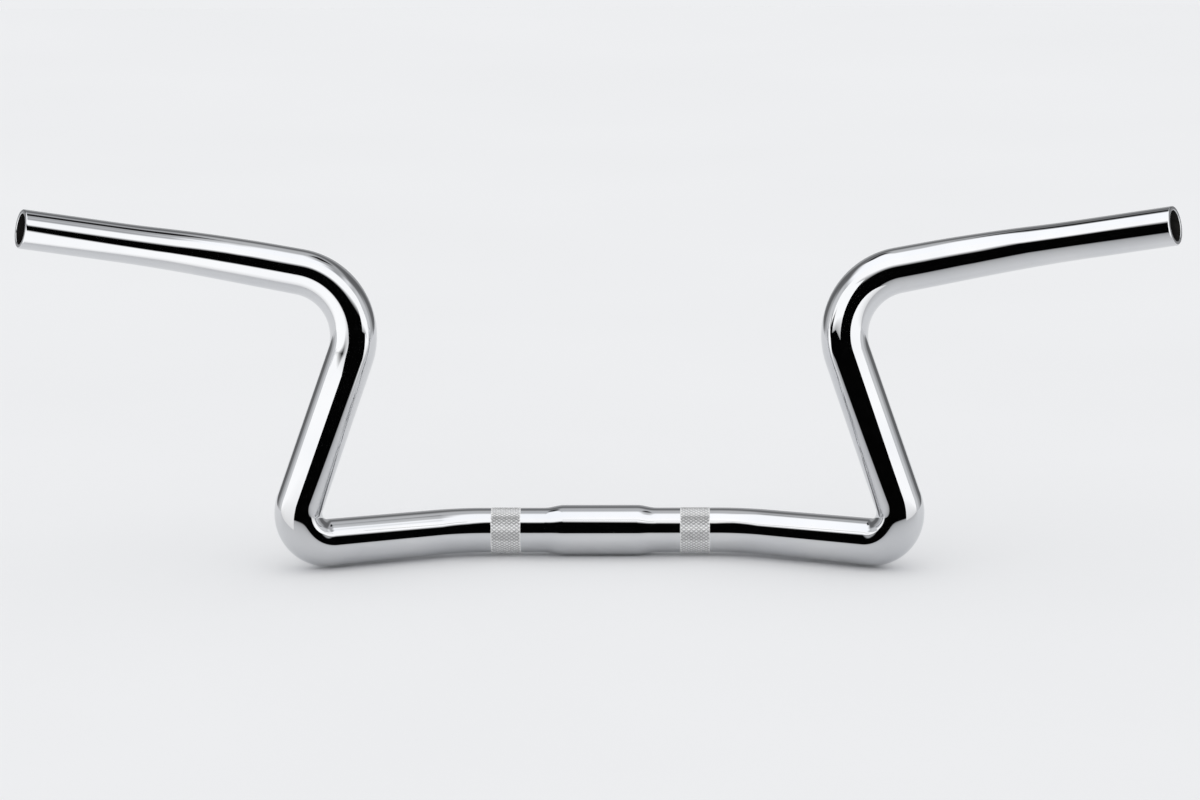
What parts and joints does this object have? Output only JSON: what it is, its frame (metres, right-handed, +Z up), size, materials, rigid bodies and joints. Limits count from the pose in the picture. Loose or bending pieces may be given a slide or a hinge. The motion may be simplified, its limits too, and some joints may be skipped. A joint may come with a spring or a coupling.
{
  "type": "z-bar handlebar",
  "caption": "Chromed one-piece tube handlebar: low clamp section, risers that lean inwards, swept-back arms and open grip ends.",
  "frame": {"origin": "middle of the clamp axis, at the centre of the swollen land between the two clamp seats", "axes": "+X along the clamp axis to the right as the rider sees it, +Y forwards, away from the rider, +Z up, with the lower bar level as it stands on a table"},
  "size_m": [0.6518, 0.0704, 0.2085],
  "materials": {
    "chrome": "polished chrome plate, with a matt knurled band on each clamp seat"
  },
  "bodies": {
    "root": {"handlebar_tube": "chrome"}
  },
  "joints": []
}
